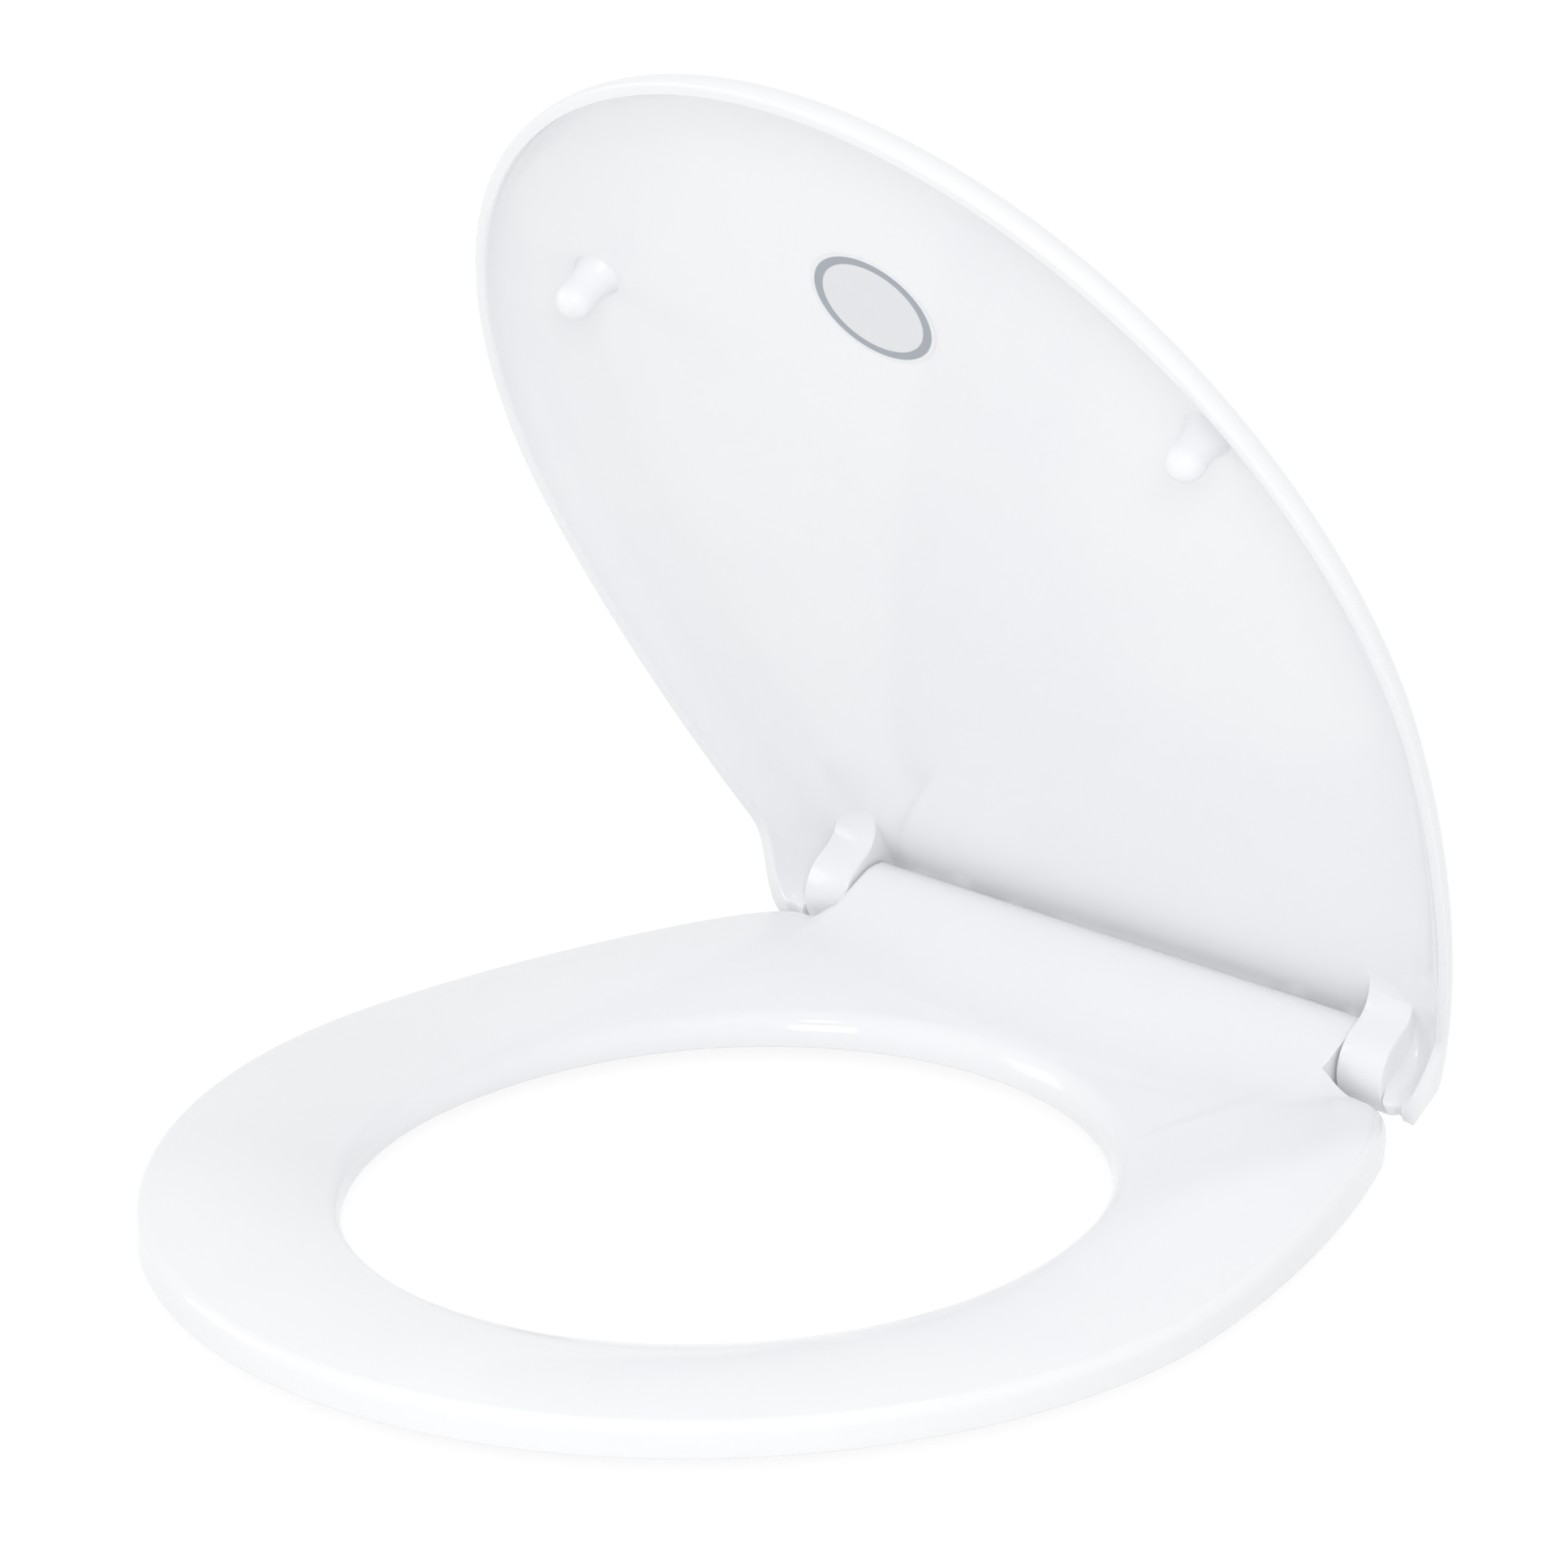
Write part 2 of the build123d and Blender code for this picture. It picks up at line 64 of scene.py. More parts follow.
def clouded(name, pale, deep, rough_low, rough_high, cloud_mm):
    """Even material with a faint cloud of two close shades and a slow change of polish."""
    material = bpy.data.materials.new(name)
    material.use_nodes = True
    tree = material.node_tree
    shader = tree.nodes["Principled BSDF"]
    place = add_node(tree, "ShaderNodeTexCoord")
    cloud = add_node(tree, "ShaderNodeTexNoise", Vector=place.outputs["Object"],
                     Scale=1000 / cloud_mm, Detail=2.0).outputs["Fac"]
    tint = add_node(tree, "ShaderNodeMix", {"data_type": "RGBA"}, _0=cloud, _6=linear(deep), _7=linear(pale))
    polish = add_node(tree, "ShaderNodeMapRange", Value=cloud, To__Min=rough_low, To__Max=rough_high)
    tree.links.new(tint.outputs[2], shader.inputs["Base Color"])
    tree.links.new(polish.outputs["Result"], shader.inputs["Roughness"])
    shader.inputs["IOR"].default_value = 1.5
    return material


def dress(material, *names):
    """Gives CAD nodes a material."""
    for name in names:
        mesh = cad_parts[name].data
        mesh.materials.clear()
        mesh.materials.append(material)


# Glass-filled nylon leaves the mould satin and a little greyer than the seat.
nylon = clouded("satin white filled nylon", "#E9EAEC", "#E1E2E5", 0.38, 0.5, 8)
# Moulded rubber is matt, with a faint bloom.
white_rubber = clouded("matt white rubber", "#E2E3E4", "#D8D9DB", 0.6, 0.75, 6)
for side in ("left", "right"):
    dress(nylon, f"swivel_base_{side}", f"base_spigot_{side}", f"hinge_post_{side}", f"release_button_{side}")
    dress(white_rubber, f"base_pad_{side}")

# Dampers, pins and bushes: two rotary dampers are pushed into the posts, one keyed to the seat and one
# to the lid. Turned steel pins and moulded acetal bushes carry the other ends of the hinge line.
# The dampers' filled nylon is dull and dark.
dark_nylon = clouded("dark grey filled nylon", "#56585C", "#4A4C50", 0.45, 0.6, 5)
# Natural acetal is milky and a little waxy.
acetal = clouded("natural acetal", "#EAE9E4", "#E0DFDA", 0.3, 0.4, 8)
# Drawn stainless steel is bright grey, with a soft sheen.
steel = clouded("drawn stainless steel", "#B9BBBE", "#A9ABAF", 0.25, 0.35, 3)
steel.node_tree.nodes["Principled BSDF"].inputs["Metallic"].default_value = 1.0
for side in ("left", "right"):
    dress(dark_nylon, f"damper_housing_{side}")
    dress(acetal, f"hood_bush_{side}")
    dress(steel, f"pivot_pin_{side}")
dress(dark_nylon, "seat_damper_rotor", "lid_damper_rotor")
dress(acetal, "ear_bush")

# Seat ring: one compression moulding in white duroplast, with the hood over the hinge posts standing
# up at its rear. It turns on the bushes and pins. Sizes are in millimetres from the hinge axis.
# The polished mould leaves duroplast smooth, dense white and glossy.
duroplast = clouded("gloss white duroplast", "#F6F7F8", "#F3F4F6", 0.07, 0.12, 60)
hinge_y = -16.0
hinge_z = 29.0
seat_foot = 6.0
# An egg outline is half width, front, widest place, tail behind that place, and power of the tail.
outer_egg = (185.0, 437.0, 213.0, 328.0, 1.28)
hole_egg = (117.5, 366.0, 220.0, 152.0, 0.94)


def full_turn(*runs):
    """Angles round an outline, from runs of (start, end, count) over its right half."""
    half = [start + (end - start) * i / count for start, end, count in runs for i in range(count)]
    return half + [180] + [360 - a for a in reversed(half[1:])]


def egg_ring(shape, inset, turns):
    """Points of an egg outline seen from above."""
    half_width, front, widest, tail, power = shape
    points = []
    for turn in turns:
        across = (half_width - inset) * math.sin(math.radians(turn))
        reach = math.cos(math.radians(turn))
        if reach >= 0:
            points.append((across, -widest - (front - widest - inset) * reach))
        else:
            points.append((across, -widest + (tail - inset) * (-reach) ** power))
    return points


def skinned(name, rows, closed):
    """Mesh through rows of points: a closed one joins up with its first row, an open one is capped."""
    count = len(rows[0])
    verts = [(x / 1000, (y + hinge_y) / 1000, z / 1000) for row in rows for x, y, z in row]
    faces = []
    for r in range(len(rows) if closed else len(rows) - 1):
        low = r * count
        high = (r + 1) % len(rows) * count
        for i in range(count):
            j = (i + 1) % count
            faces.append((low + i, low + j, high + j, high + i))
    if not closed:
        faces.append(tuple(reversed(range(count))))
        faces.append(tuple(range((len(rows) - 1) * count, len(rows) * count)))
    mesh = bpy.data.meshes.new(name)
    mesh.from_pydata(verts, [], faces)
    piece = bpy.data.objects.new(name, mesh)
    bpy.context.scene.collection.objects.link(piece)
    work = bmesh.new()
    work.from_mesh(mesh)
    bmesh.ops.recalc_face_normals(work, faces=work.faces)
    work.to_mesh(mesh)
    work.free()
    return piece


def bar(name, outline, *ends):
    """Bar along X between two ends, from an outline in (Y, Z)."""
    return skinned(name, [[(x, y, z) for y, z in outline] for x in sorted(ends)], False)


def arc(radius, start, end, steps, y=0.0, z=hinge_z):
    """Points of an arc in (Y, Z), in degrees from +Y towards +Z."""
    angles = [math.radians(start + (end - start) * i / steps) for i in range(steps + 1)]
    return [(y + radius * math.cos(a), z + radius * math.sin(a)) for a in angles]


def settle(piece):
    """Makes the result of a piece's modifiers its plain mesh."""
    bpy.context.view_layer.update()
    shaped = bpy.data.meshes.new_from_object(piece.evaluated_get(bpy.context.evaluated_depsgraph_get()))
    piece.modifiers.clear()
    piece.data = shaped


def combine(piece, tools, operation):
    """Cuts a piece with tools, joins it to them or keeps what they share, and removes them."""
    for tool in tools:
        step = piece.modifiers.new("combine", "BOOLEAN")
        step.object = tool
        step.operation = operation
        step.solver = "EXACT"
        settle(piece)
        bpy.data.objects.remove(tool)


def finish_piece(piece, material, nodes, body, sharp=32):
    """Smooth shading with crisp edges past an angle, the material, and the place in the frame."""
    piece.data.materials.clear()
    piece.data.materials.append(material)
    piece.data.polygons.foreach_set("material_index", [0] * len(piece.data.polygons))
    piece.data.shade_smooth()
    piece.data.set_sharp_from_angle(angle=math.radians(sharp))
    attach(piece, body)
    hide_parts(*nodes)


def smooth_max(a, b, width):
    """The higher of two values, with a soft change over."""
    near = max(width - abs(a - b), 0) / width
    return max(a, b) + near * near * width / 4


def ease(value, start, end):
    """Soft step from 0 at the start to 1 at the end."""
    u = min(max((value - start) / (end - start), 0), 1)
    return u * u * (3 - 2 * u)


barrel = 13.6
hood_end = 110.0
hood_lean = math.radians(26)
hood_toe = (-57.0, 14.8)
toe_rise = 0.12
toe_fall = 0.6
hood_sunk = 8.5
hood_fade = (hood_end - 2.2, hood_end + 19.8)


def hood_height(x, y):
    """Height of the hood: a ramp up to the barrel over the hinge line, fading out past the hood's ends."""
    y0, z0 = hood_toe
    y1, z1 = -barrel * math.sin(hood_lean), hinge_z + barrel * math.cos(hood_lean)
    if y < y0:
        top = z0 - (y0 - y) * toe_fall
    elif y < y1:
        run = y1 - y0
        u = (y - y0) / run
        top = (z0 * (1 + 2 * u) * (1 - u) ** 2 + z1 * u * u * (3 - 2 * u)
               + run * toe_rise * u * (1 - u) ** 2 - run * math.tan(hood_lean) * u * u * (1 - u))
    elif y < 0:
        top = hinge_z + math.sqrt(barrel ** 2 - y * y)
    else:
        top = hinge_z + barrel
    return hood_sunk + (1 - ease(abs(x), *hood_fade)) * (top - hood_sunk)


ring_turns = full_turn((0, 120, 150), (120, 152, 90), (152, 180, 30))
corner_back = 13.0
corner_round = 24.0
corner_sides = (118.0, 124.0)


def outer_line(inset):
    """The ring's outer outline, rounded off at the rear corners beside the ears."""
    points = []
    for x, y in egg_ring(outer_egg, inset, ring_turns):
        rounded = -smooth_max(-y, corner_back + inset, corner_round)
        points.append((x, y + (rounded - y) * ease(abs(x), *corner_sides)))
    return points


swell = 0.33
swell_start = -215.0
swell_run = 185.0
swell_knee = 0.12


def thickness(y):
    """How many times thicker the ring grows towards the hinge."""
    u = min(max((y - swell_start) / swell_run, 0), 1)
    return 1 + swell * (1 + swell_knee) * u * u / (u + swell_knee)


ring_rows = []
soft_run = (-60.0, -18.0)


def outer_row(inset, z, corner_inset, corner_z):
    """Adds a row of the ring's outer skin; the second profile is the softer one of the rear corners."""
    row = []
    for (x0, y0), (x1, y1) in zip(outer_line(inset), outer_line(corner_inset)):
        soft = ease(y0, *soft_run)
        y = y0 + (y1 - y0) * soft
        row.append((x0 + (x1 - x0) * soft, y, seat_foot + (z + (corner_z - z) * soft) * thickness(y)))
    ring_rows.append(row)


# The outer wall goes up from the foot's small edge and turns over the shoulder.
shoulder, shoulder_top, shoulder_turn = 4.5, 12.8, 69
corner_in, corner_down, corner_top = 9.0, 8.0, 13.3
round_steps = 12
for inset, z in ((3, 0), (0.7, 0), (0.2, 0.2), (0, 0.7), (0, 3.5), (0, 6)):
    outer_row(inset, z, inset, z / 2)
for i in range(round_steps + 1):
    a = math.radians(shoulder_turn * i / round_steps)
    outer_row(shoulder * (1 - math.cos(a)), shoulder_top - shoulder * (1 - math.sin(a)),
              corner_in * (1 - math.cos(a)), corner_top - corner_down * (1 - math.sin(a)))

# The roll into the hole starts at the slope with which the crown comes down to it.
crown = 15.2
crown_steps = 146
roll = 8.0
roll_low = 2.5
near_inset, near_z = -0.65 * roll, roll_low + 0.94 * roll
starts = []
for (x0, y0, z0), turn in zip(ring_rows[-1], ring_turns):
    x1, y1 = egg_ring(hole_egg, near_inset, [turn])[0]
    fall = (z0 - seat_foot) / thickness(y0) - near_z
    slope = (fall + 4 * (crown - near_z - fall / 2)) / math.hypot(x1 - x0, y1 - y0)
    starts.append(math.pi / 2 - math.atan(slope))
roll_rows = []
for i in range(round_steps + 1):
    row = []
    for start, turn in zip(starts, ring_turns):
        a = start * (1 - i / round_steps)
        x, y = egg_ring(hole_egg, -roll * (1 - math.cos(a)), [turn])[0]
        row.append((x, y, seat_foot + (roll_low + roll * math.sin(a)) * thickness(y)))
    roll_rows.append(row)

# The crown spans from shoulder to roll, and the hood rises out of it.
hood_blend = 10.0
shoulder_row = ring_rows[-1]
for step in range(1, crown_steps):
    share = step / crown_steps
    row = []
    for (x0, y0, z0), (x1, y1, z1) in zip(shoulder_row, roll_rows[0]):
        x = x0 + (x1 - x0) * share
        y = y0 + (y1 - y0) * share
        low = (z0 - seat_foot) / thickness(y0)
        high = (z1 - seat_foot) / thickness(y1)
        z = low + (high - low) * share + 4 * share * (1 - share) * (crown - (low + high) / 2)
        row.append((x, y, smooth_max(seat_foot + z * thickness(y), hood_height(x, y), hood_blend)))
    ring_rows.append(row)
ring_rows += roll_rows
for inset, z in ((0, 1.2), (0, 0.7), (-0.2, 0.2), (-0.7, 0), (-3, 0)):
    ring_rows.append([(x, y, seat_foot + z) for x, y in egg_ring(hole_egg, inset, ring_turns)])
seat = skinned("seat_ring_fine", ring_rows, True)

# Room for the hinge: all behind the barrel, the notches of the ears, the posts, and two hollows.
deep, far = -20, 400
behind_hood = [(-16.5, 6), (0, hinge_z - barrel), *arc(barrel, -90, 90, 60)[1:],
               (0, 60), (200, 60), (200, deep), (-16.5, deep)]
notch, notch_front = 23.5, -14
ear_room = [(notch_front, deep), (notch_front, hinge_z - math.sqrt(notch ** 2 - notch_front ** 2)),
            *arc(notch, 233.4, 95, 48)[1:], (0, 90), (far, 90), (far, deep)]
post_room = [(-8.7, deep), (-8.7, hinge_z), *arc(11, 142, 60, 24),
             (6.8, hinge_z + 8.7), (30, hinge_z + 8.7), (30, deep)]
hood_hollow = [(-49, deep), (-49, 8.5), (-13.6, 32), (0, 34.6), (9.6, 29), (0, 14.4), (0, deep)]
tools = [bar("behind the hood", behind_hood, -hood_end - 0.01, hood_end + 0.01)]
for side in (-1, 1):
    tools.append(bar("ear room", ear_room, side * hood_end, side * far))
    tools.append(bar("post room", post_room, side * 61.7, side * 93.3))
    tools.append(bar("hood hollow", hood_hollow, side * 2.0, side * 47.7))
combine(seat, tools, "DIFFERENCE")
finish_piece(seat, duroplast, ("seat_ring",), "seat", 20)

# Seat bumpers: four tapered feet moulded from the pads' white rubber, under the ring, each with
# a stem pressed up into it. They carry the seat on the bowl's rim.
pairs = bpy.data.node_groups.new("bumper pair", "GeometryNodeTree")
for label, kind in (("Geometry", "Geometry"), ("Half Spacing", "Float"),
                    ("Reach", "Float"), ("Material", "Material")):
    pairs.interface.new_socket(label, in_out="INPUT", socket_type=f"NodeSocket{kind}")
pairs.interface.new_socket("Geometry", in_out="OUTPUT", socket_type="NodeSocketGeometry")
given = add_node(pairs, "NodeGroupInput").outputs
leftward = add_node(pairs, "ShaderNodeMath", {"operation": "MULTIPLY"}, _0=given["Half Spacing"], _1=-1.0)
first = add_node(pairs, "ShaderNodeCombineXYZ", X=leftward.outputs[0], Y=given["Reach"])
spacing = add_node(pairs, "ShaderNodeMath", {"operation": "MULTIPLY"}, _0=given["Half Spacing"], _1=2.0)
stride = add_node(pairs, "ShaderNodeCombineXYZ", X=spacing.outputs[0])
spots = add_node(pairs, "GeometryNodeMeshLine", {"mode": "OFFSET"}, Count=2,
                 Start__Location=first.outputs[0], Offset=stride.outputs[0])
copies = add_node(pairs, "GeometryNodeInstanceOnPoints", Points=spots.outputs["Mesh"], Instance=given["Geometry"])
solid = add_node(pairs, "GeometryNodeRealizeInstances", Geometry=copies.outputs["Instances"])
coated = add_node(pairs, "GeometryNodeSetMaterial", Geometry=solid.outputs["Geometry"], Material=given["Material"])
add_node(pairs, "NodeGroupOutput", Geometry=coated.outputs["Geometry"])
turn_steps = 56
tip = 0.05


def turned_pair(name, profile, half_spacing, reach, material):
    """A left and a right copy of a turned shape, from a profile of (radius, height)."""
    angles = [2 * math.pi * i / turn_steps for i in range(turn_steps)]
    rows = [[(r * math.cos(a), r * math.sin(a) - hinge_y, z) for a in angles] for r, z in profile]
    piece = skinned(name, rows, False)
    maker = piece.modifiers.new("bumper pair", "NODES")
    maker.node_group = pairs
    values = {"Half Spacing": half_spacing / 1000, "Reach": (hinge_y - reach) / 1000, "Material": material}
    for item in pairs.interface.items_tree:
        if item.in_out == "INPUT" and item.name in values:
            maker[item.identifier] = values[item.name]
    settle(piece)
    return piece


foot_profile = [(tip, 0), (7.2, 0), (7.7, 0.15), (8.1, 0.5), (8.6, 1.0), (8.85, 1.5), (9.3, 3.2),
                (9.75, 5.0), (9.9, 5.7), (9.85, 5.95), (4, 5.97), (4, 10.9), (3.6, 11), (tip, 11)]
middle_egg = (151.25, 401.5, 216.5, 240.0, 1.11)
for place, turn in (("front", 38), ("rear", 112)):
    x, y = egg_ring(middle_egg, 0, [turn])[0]
    feet = turned_pair(f"seat_bumpers_{place}", foot_profile, x, -y, white_rubber)
    finish_piece(feet, white_rubber, (f"seat_bumper_{place}_left", f"seat_bumper_{place}_right"),
                 "seat")

# Lid: a thin domed shell, moulded from the ring's duroplast. The rim turns down into a shield at each
# rear corner, and two ears reach down round the hinge axis. It is drawn shut and then turned half open.
lid_half_width, lid_front, lid_widest, lid_back, lid_power = 188.5, 441.0, 207.0, 3.0, 1.2
lid_corner = 143.8
lid_tail = (lid_widest + lid_back) / math.sqrt(1 - (lid_corner / lid_half_width) ** 2) ** lid_power
lid_egg = (lid_half_width, lid_front, lid_widest, lid_tail, lid_power)
lid_turns = full_turn((0, 120, 150), (120, 124, 12), (124, 138, 80), (138, 152, 40), (152, 180, 30))
rim_z = 26.7
face_z = 45.9
lid_top = 49.7
ear_inner, ear_outer = 111.3, 130.3
shield_drop = 15.8
arch_rise = 2.0
ear_rise = 5.0


def rim_line(x, y):
    """Height of the rim's edge: it drops into the shield, arched between the ear and the shield's tip."""
    side = abs(x)
    arch = arch_rise * ease(side, 130.8, 135.5) * (1 - ease(side, 136.8, 139.4))
    arch += ear_rise * ease(-side, -131.2, -129.8)
    return rim_z - shield_drop * ease(y, -30, lid_back) + arch * ease(y, -14, -5)


trough_fillet = 4.5
trough_sweep = 19.0
trough_back = -1.5
trough_blend = 16.0


def trough(x, y, z):
    """Bends a row round the trough between the rim and an ear, along the shield's hollow wall."""
    rise = min(max(z - (face_z - trough_sweep), 0), trough_sweep)
    side = min(max((ear_outer + trough_fillet - abs(x)) / trough_fillet, 0), 0.98)
    wall = (trough_back - trough_sweep + math.sqrt(trough_sweep ** 2 - rise ** 2)
            - trough_fillet * (1 - math.sqrt(1 - side ** 2)))
    return y + (-smooth_max(-y, -wall, trough_blend) - y) * ease(abs(x), 122, 126)


lid_rows = []
rim_wall = 4.5
inner_lip = 0.9
outer_lip = 0.6


def lid_row(inset, height, part):
    """Adds a row of the lid's skin: at a height, up from the rim's edge, or as a share of its wall."""
    row = []
    for x, y in egg_ring(lid_egg, inset, lid_turns):
        if part == "dish":
            y, z = trough(x, y, height), height
        elif part == "inner wall":
            y = trough(x, y, rim_z)
            edge = rim_line(x, y)
            z = edge + inner_lip + height * (rim_z + 0.1 - edge)
        elif part == "inner edge":
            y = trough(x, y, rim_z) + rim_wall - inset
            z = rim_line(x, y) + height
        elif part == "outer edge":
            z = rim_line(x, y) + height
        elif part == "outer wall":
            edge = rim_line(x, y)
            z = edge + outer_lip + height * (rim_z + 0.2 - edge)
        else:
            z = height
        row.append((x, y, z))
    lid_rows.append(row)


dish_round = 34.0
dish_inset = 4.6
dome_round = 50.0
dome_low = rim_z + 0.8
for inset in (70, 60, 50, 44):
    lid_row(inset, face_z, "dish")
for i in range(30):
    a = math.radians(90 - 3 * i)
    lid_row(dish_inset + dish_round * (1 - math.cos(a)), rim_z + (face_z - rim_z) * math.sin(a), "dish")
for inset, share in ((4.58, 0.75), (4.56, 0.5), (4.54, 0.25)):
    lid_row(inset, share, "inner wall")
for inset, up in ((rim_wall, inner_lip), (4.3, 0.5), (3.9, 0.2), (3.2, 0)):
    lid_row(inset, up, "inner edge")
for inset, up in ((1.5, 0), (0.7, 0.1), (0.25, 0.3), (0.03, outer_lip)):
    lid_row(inset, up, "outer edge")
for inset, share in ((0.02, 0.25), (0.015, 0.5), (0.01, 0.75)):
    lid_row(inset, share, "outer wall")
dome_turns = [math.radians(2.5 * i) for i in range(37)]
for a in dome_turns:
    lid_row(dome_round * (1 - math.cos(a)), dome_low + (lid_top - dome_low) * math.sin(a), "dome")
for inset in (60, 70):
    lid_row(inset, lid_top, "dome")
lid = skinned("lid_fine", lid_rows, False)
behind_lid = [(lid_back, -50), (lid_back, 100), (far, 100), (far, -50)]
combine(lid, [bar("behind the lid", behind_lid, -far, far)], "DIFFERENCE")

# Each ear is a soft-edged bar round the hinge axis, flared into the lid's face and kept under the dome.
ear_radius, ear_flare, ear_top = 16.3, 12.0, 47.8
flare_y = -ear_radius - ear_flare
ear = [(flare_y, ear_top), *arc(ear_flare, 90, 0, 16, flare_y, face_z - ear_flare),
       *arc(ear_radius, 180, 439.4, 72), (lid_back, ear_top)]
under = 0.3
room_rows = [[(x, y, z) for x, y in egg_ring(lid_egg, under, lid_turns)] for z in (-40, 0, rim_z)]
for a in dome_turns[::2]:
    z = dome_low - under + (lid_top - dome_low) * math.sin(a)
    line = egg_ring(lid_egg, under + dome_round * (1 - math.cos(a)), lid_turns)
    room_rows.append([(x, y, z) for x, y in line])
ears = []
for side in (-1, 1):
    piece = bar("ear", ear, side * ear_inner, side * ear_outer)
    soft = piece.modifiers.new("soft edges", "BEVEL")
    soft.width = 0.0014
    soft.segments = 4
    soft.limit_method = "ANGLE"
    soft.angle_limit = math.radians(50)
    settle(piece)
    combine(piece, [skinned("under the dome", room_rows, False)], "INTERSECT")
    ears.append(piece)
combine(lid, ears, "UNION")
lid_open = 56.2
pivot = Vector((0, hinge_y / 1000, hinge_z / 1000))
opening = Matrix.Rotation(math.radians(-lid_open), 4, "X")
lid_turn = Matrix.Translation(pivot) @ opening @ Matrix.Translation(-pivot)
lid.data.transform(lid_turn)
finish_piece(lid, duroplast, ("lid",), "lid_body")

# Lid bumpers: two balls on flared necks, moulded from soft white plastic, each pushed with a plug into
# the lid's inner face. They meet the ring's crown when the lid is shut.
# Moulded soft plastic looks satin and milky.
soft_white = clouded("satin white soft plastic", "#F6F7F8", "#F2F3F5", 0.3, 0.4, 12)
ball, ball_tip, ball_steps = 7.0, 25.8, 20
neck_turn, neck_waist, neck_foot, neck_steps = 15, 0.9, 9.2, 16
neck_end = face_z + 0.3
ball_profile = [(tip, ball_tip)]
for i in range(1, ball_steps + 1):
    a = math.radians(-90 + (90 + neck_turn) * i / ball_steps)
    ball_profile.append((ball * math.cos(a), ball_tip + ball + ball * math.sin(a)))
neck_r, neck_z = ball_profile[-1]
for i in range(1, neck_steps + 1):
    u = i / neck_steps
    flare = (neck_foot - neck_r) * u ** 3 - neck_waist * u * (1 - u) ** 2
    ball_profile.append((neck_r + flare, neck_z + (neck_end - neck_z) * u))
ball_profile.append((tip, neck_end))
lid_balls = turned_pair("lid_bumpers", ball_profile, 128.4, 308, soft_white)
lid_balls.data.transform(lid_turn)
finish_piece(lid_balls, soft_white, ("lid_bumper_left", "lid_bumper_right"), "lid_body")

# Round sticker: a thin film, printed with a grey ring near its edge and stuck on the lid's inner face.
# Printed film is pale and half matt, so that it stands out dull against the gloss round it.
film = bpy.data.materials.new("printed pale film")
film.use_nodes = True
tree = film.node_tree
shader = tree.nodes["Principled BSDF"]
sticker_reach = 328
sticker_edge = 25.0
middle = lid_turn @ Vector((0, (hinge_y - sticker_reach) / 1000, face_z / 1000))
place = add_node(tree, "ShaderNodeTexCoord")
away = add_node(tree, "ShaderNodeVectorMath", {"operation": "DISTANCE"}, _0=place.outputs["Object"], _1=middle)
share = add_node(tree, "ShaderNodeMapRange", Value=away.outputs["Value"], From__Max=sticker_edge / 1000)
print_ring = add_node(tree, "ShaderNodeValToRGB", Fac=share.outputs["Result"])
stops = print_ring.color_ramp.elements
stops[0].position, stops[0].color = 19.6 / sticker_edge, linear("#E6E7E9")
stops[1].position, stops[1].color = 19.9 / sticker_edge, linear("#A5AAB2")
for radius, code in ((22.95, "#A5AAB2"), (23.25, "#EFF0F2")):
    stops.new(radius / sticker_edge).color = linear(code)
tree.links.new(print_ring.outputs["Color"], shader.inputs["Base Color"])
shader.inputs["Roughness"].default_value = 0.42
dress(film, "round_sticker")

# Stage: a matt white floor that keeps the shadow, in a white room with four square lamps.
# Floor and room look white where they are seen straight, in a reflection or through glass.
bpy.ops.mesh.primitive_plane_add(size=30, location=(0, 0, 0))
floor = bpy.context.object
floor_paint = bpy.data.materials.new("white studio floor")
floor_paint.use_nodes = True
tree = floor_paint.node_tree
tree.nodes.clear()


def seen_rays(tree):
    """1 for rays that look at the background, 0 for those that light the object."""
    ray = add_node(tree, "ShaderNodeLightPath").outputs
    clear = add_node(tree, "ShaderNodeMath", {"operation": "MAXIMUM"},
                     _0=ray["Is Camera Ray"], _1=ray["Is Transmission Ray"])
    return add_node(tree, "ShaderNodeMath", {"operation": "MAXIMUM"},
                    _0=clear.outputs[0], _1=ray["Is Glossy Ray"]).outputs[0]


matt = add_node(tree, "ShaderNodeBsdfDiffuse", Color=linear("#F4F4F4"))
glow = add_node(tree, "ShaderNodeEmission", Color=linear("#FFFFFF"), Strength=1.1)
glow_share = add_node(tree, "ShaderNodeMath", {"operation": "MULTIPLY"}, _0=seen_rays(tree), _1=0.8)
both = add_node(tree, "ShaderNodeMixShader", _0=glow_share.outputs[0], _1=matt.outputs[0], _2=glow.outputs[0])
add_node(tree, "ShaderNodeOutputMaterial", Surface=both.outputs[0])
floor.data.materials.append(floor_paint)

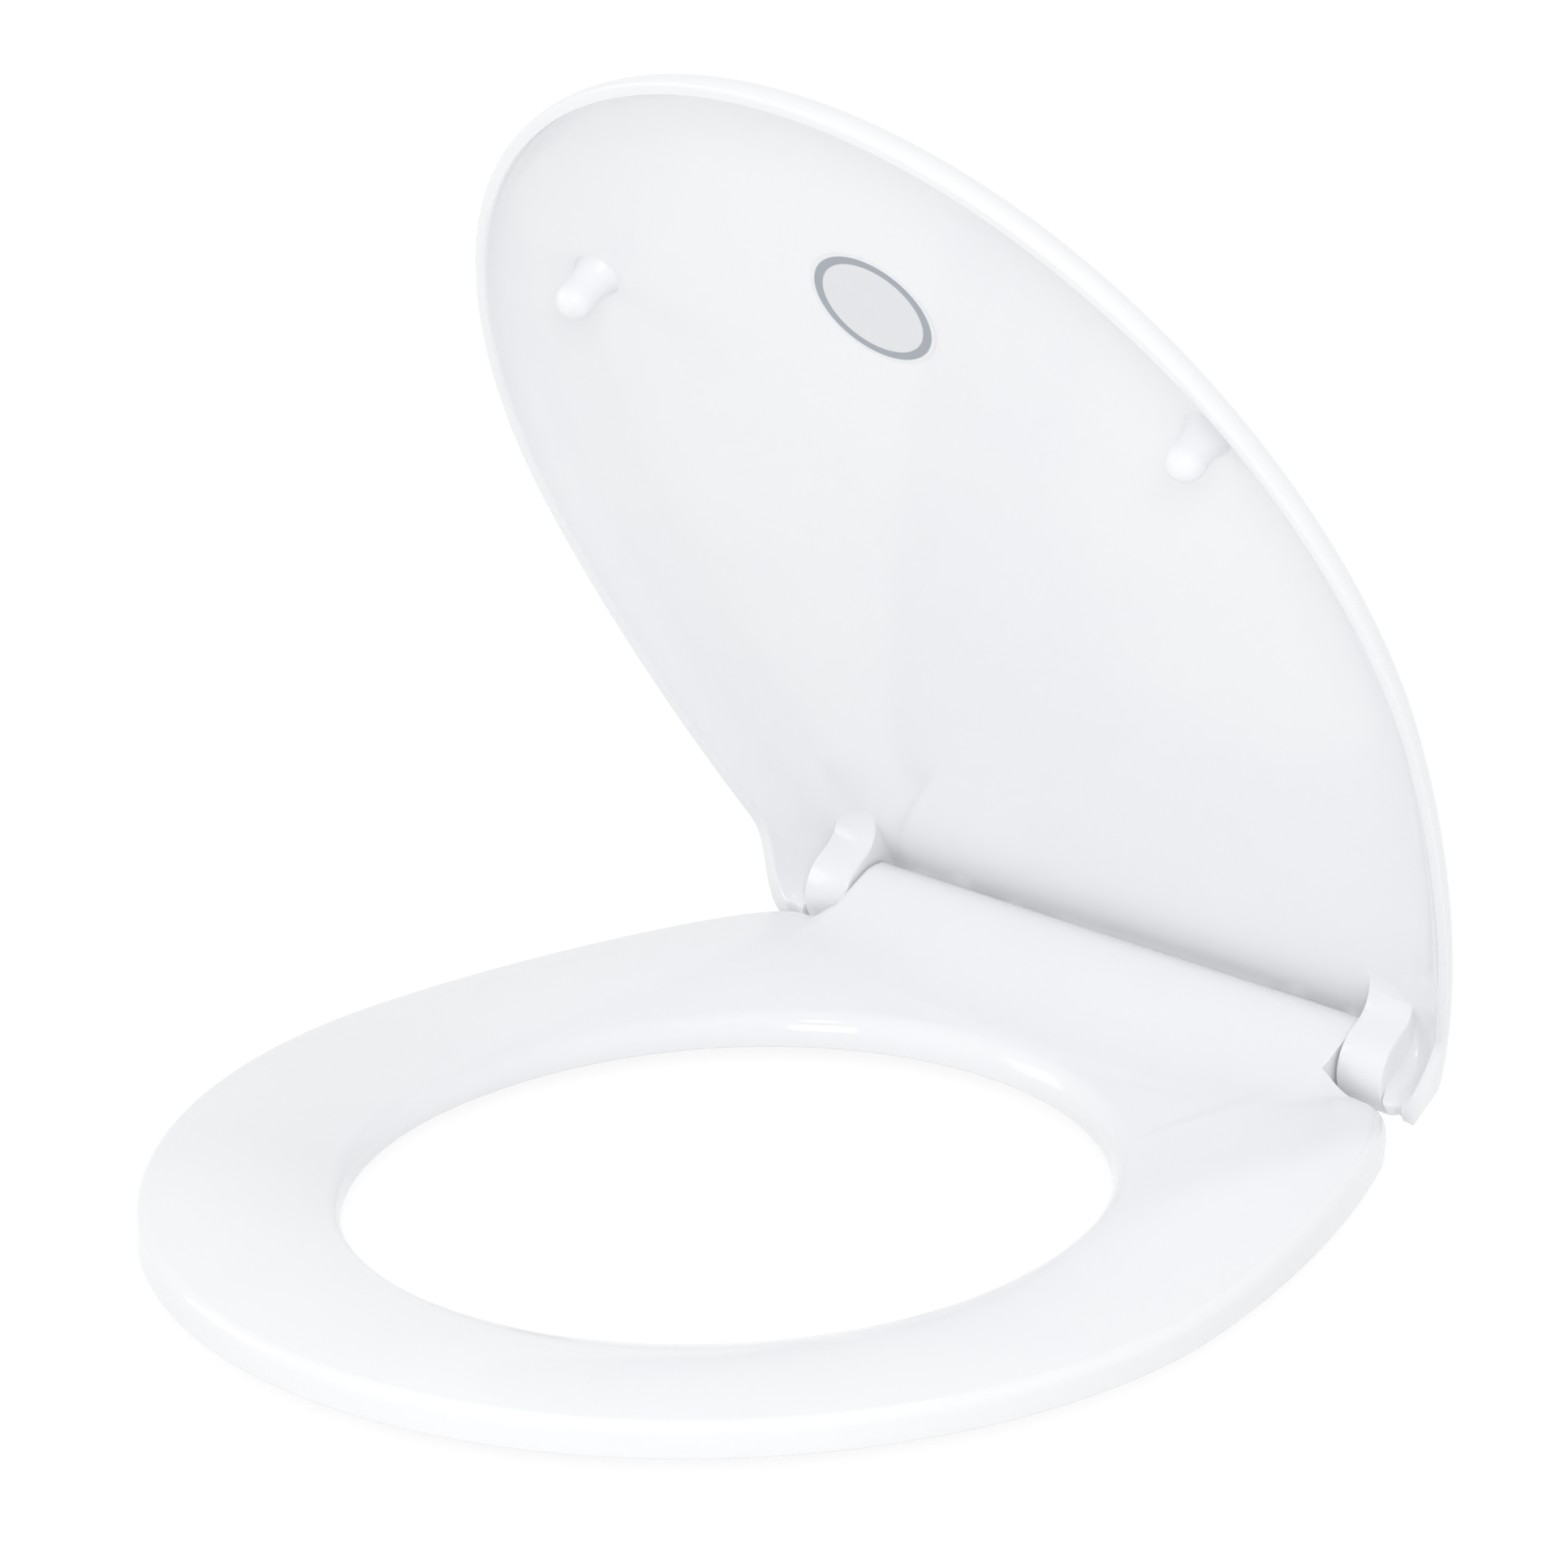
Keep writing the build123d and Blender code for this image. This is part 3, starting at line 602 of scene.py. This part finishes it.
world = bpy.data.worlds.new("white room")
bpy.context.scene.world = world
world.use_nodes = True
tree = world.node_tree
tree.nodes.clear()
dim = add_node(tree, "ShaderNodeBackground", Color=linear("#FBFBFC"), Strength=0.75)
bright = add_node(tree, "ShaderNodeBackground", Color=linear("#FFFFFF"), Strength=1.0)
both = add_node(tree, "ShaderNodeMixShader", _0=seen_rays(tree), _1=dim.outputs[0], _2=bright.outputs[0])
add_node(tree, "ShaderNodeOutputWorld", Surface=both.outputs[0])


def soft_box(name, place, aim, size, watts):
    """Square studio lamp aimed at a point."""
    lamp = bpy.data.lights.new(name, "AREA")
    lamp.shape = "SQUARE"
    lamp.size = size
    lamp.energy = watts
    holder = bpy.data.objects.new(name, lamp)
    bpy.context.scene.collection.objects.link(holder)
    holder.location = place
    holder.rotation_euler = (Vector(aim) - Vector(place)).to_track_quat("-Z", "Y").to_euler()


soft_box("camera box", (1.5, -2.2, 1.3), (0, -0.2, 0.12), 1.0, 20)
soft_box("left box", (-1.6, -1.2, 0.7), (0, -0.1, 0.1), 1.0, 4.5)
soft_box("front box", (0.71, -1.13, 1.9), (0, -0.25, 0), 0.3, 1.0)
soft_box("rear box", (0.86, 0.28, 1.95), (0.05, -0.25, 0), 0.3, 3.5)

# Camera: a long lens at the photograph's own viewpoint, in front to the right and a little above,
# with its slight tilt.
azimuth, elevation, tilt = (math.radians(a) for a in (37.64, 19.45, 3.34))
back = Vector((math.sin(azimuth) * math.cos(elevation), -math.cos(azimuth) * math.cos(elevation),
               math.sin(elevation)))
level = Vector((math.cos(azimuth), math.sin(azimuth), 0))
upright = back.cross(level)
right = level * math.cos(tilt) + upright * math.sin(tilt)
up = upright * math.cos(tilt) - level * math.sin(tilt)
lens = bpy.data.cameras.new("photo camera")
lens.sensor_width = 36
lens.lens = 134.46
camera = bpy.data.objects.new("photo camera", lens)
bpy.context.scene.collection.objects.link(camera)
camera.matrix_world = Matrix((
    (right.x, up.x, back.x, 1.1303),
    (right.y, up.y, back.y, -1.6832),
    (right.z, up.z, back.z, 0.8055),
    (0, 0, 0, 1),
))
bpy.context.scene.camera = camera
bpy.context.scene.view_settings.view_transform = "Standard"
